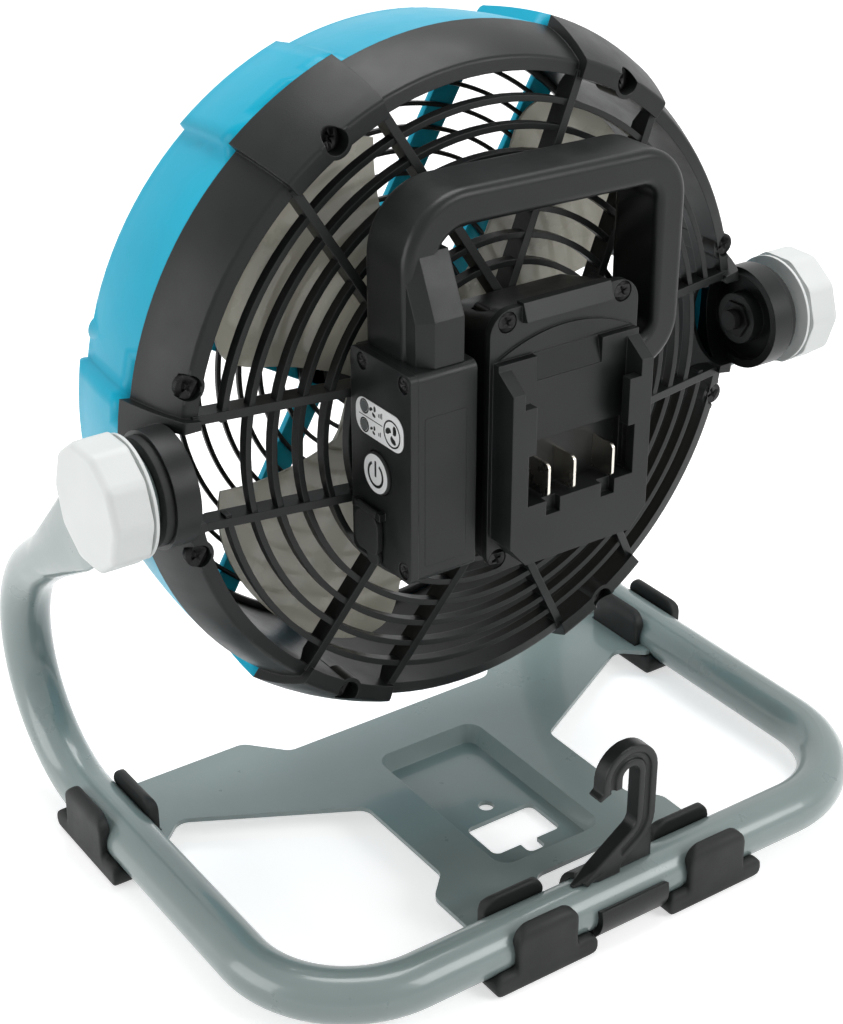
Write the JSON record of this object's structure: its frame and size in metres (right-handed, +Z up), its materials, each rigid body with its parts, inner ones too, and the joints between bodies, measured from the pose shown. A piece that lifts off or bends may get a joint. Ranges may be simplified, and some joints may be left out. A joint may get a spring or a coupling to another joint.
{
  "type": "cordless jobsite fan",
  "caption": "Round cordless fan with a domed rear grille, carry handle and battery rail, tilting between the flattened arms of a bent-tube floor stand with a fold-up hook.",
  "frame": {"origin": "floor level, at the middle of the whole object's footprint box", "axes": "+Z up, the fan blows towards -Y, +X along the tilt axis to the control panel's side"},
  "size_m": [0.3178, 0.236, 0.3129],
  "materials": {
    "grey_paint": "satin powder coat",
    "black_plastic": "fine grained moulding",
    "blue_plastic": "smooth semi-gloss moulding",
    "smoke_plastic": "smoky see-through moulding",
    "black_rubber": "matte",
    "pale_plastic": "fine grained moulding",
    "steel": "zinc plated",
    "dark_steel": "blackened",
    "bronze": "bare",
    "magnet": "sintered",
    "board": "solder mask",
    "panel_film": "printed film",
    "led_lens": "diffusing"
  },
  "bodies": {
    "stand": {"stand_tube": "grey_paint", "base_plate": "grey_paint", "foot_left": "black_rubber", "foot_right": "black_rubber", "foot_rear_left": "black_rubber", "foot_rear_right": "black_rubber"},
    "impeller": {"fan_blade": "smoke_plastic", "shaft_nut": "steel", "motor_shaft": "steel", "motor_rotor": "steel"},
    "left_knob": {"knob_left": "pale_plastic", "stud_left": "steel"},
    "right_knob": {"knob_right": "pale_plastic", "stud_right": "steel"},
    "button": {"power_button": "black_rubber"},
    "hook": {"hook": "black_plastic"},
    "jack_flap": {"dc_jack_cover": "black_rubber"},
    "head": {"rear_housing": "black_plastic", "front_shroud": "blue_plastic", "front_guard": "black_plastic", "motor_can": "steel", "motor_end_cap": "black_plastic", "motor_magnets": "magnet", "motor_bushes": "bronze", "motor_screws": "steel", "pedestal": "black_plastic", "pedestal_screws": "dark_steel", "battery_mount": "black_plastic", "terminal_block": "black_plastic", "terminals": "bronze", "mount_screws": "dark_steel", "control_box": "black_plastic", "control_cover": "black_plastic", "indicator_panel": "panel_film", "led_lenses": "led_lens", "circuit_board": "board", "dc_jack": "black_plastic", "cover_screws": "dark_steel", "handle": "black_plastic", "housing_screws": "dark_steel", "trunnion_nuts": "steel", "friction_washers": "black_rubber"}
  },
  "joints": [
    {"name": "head_tilt", "type": "hinge", "parent": "stand", "child": "head", "pos_m": [0, 0.01747, 0.1827], "axis": [1, 0, 0], "range_deg": [-135, 45]},
    {"name": "impeller_spin", "type": "hinge", "parent": "head", "child": "impeller", "pos_m": [0, 0.01747, 0.1827], "axis": [0, 1, 0], "continuous": true},
    {"name": "left_knob_turn", "type": "hinge", "parent": "stand", "child": "left_knob", "pos_m": [0.15, 0.01747, 0.1827], "axis": [1, 0, 0], "range_deg": [0, 360]},
    {"name": "right_knob_turn", "type": "hinge", "parent": "stand", "child": "right_knob", "pos_m": [-0.15, 0.01747, 0.1827], "axis": [-1, 0, 0], "range_deg": [0, 360]},
    {"name": "power_press", "type": "slide", "parent": "head", "child": "button", "axis": [-1, 0, 0], "range_m": [0, 0.0008], "stiffness_N_per_m": 1500, "springref_m": -0.0005},
    {"name": "hook_swing", "type": "hinge", "parent": "stand", "child": "hook", "pos_m": [0, 0.105, 0.0138], "axis": [1, 0, 0], "range_deg": [-95, 60]},
    {"name": "jack_flap_turn", "type": "hinge", "parent": "head", "child": "jack_flap", "pos_m": [0.0646, 0.04097, 0.1647], "axis": [0, -1, 0], "range_deg": [0, 120]}
  ]
}
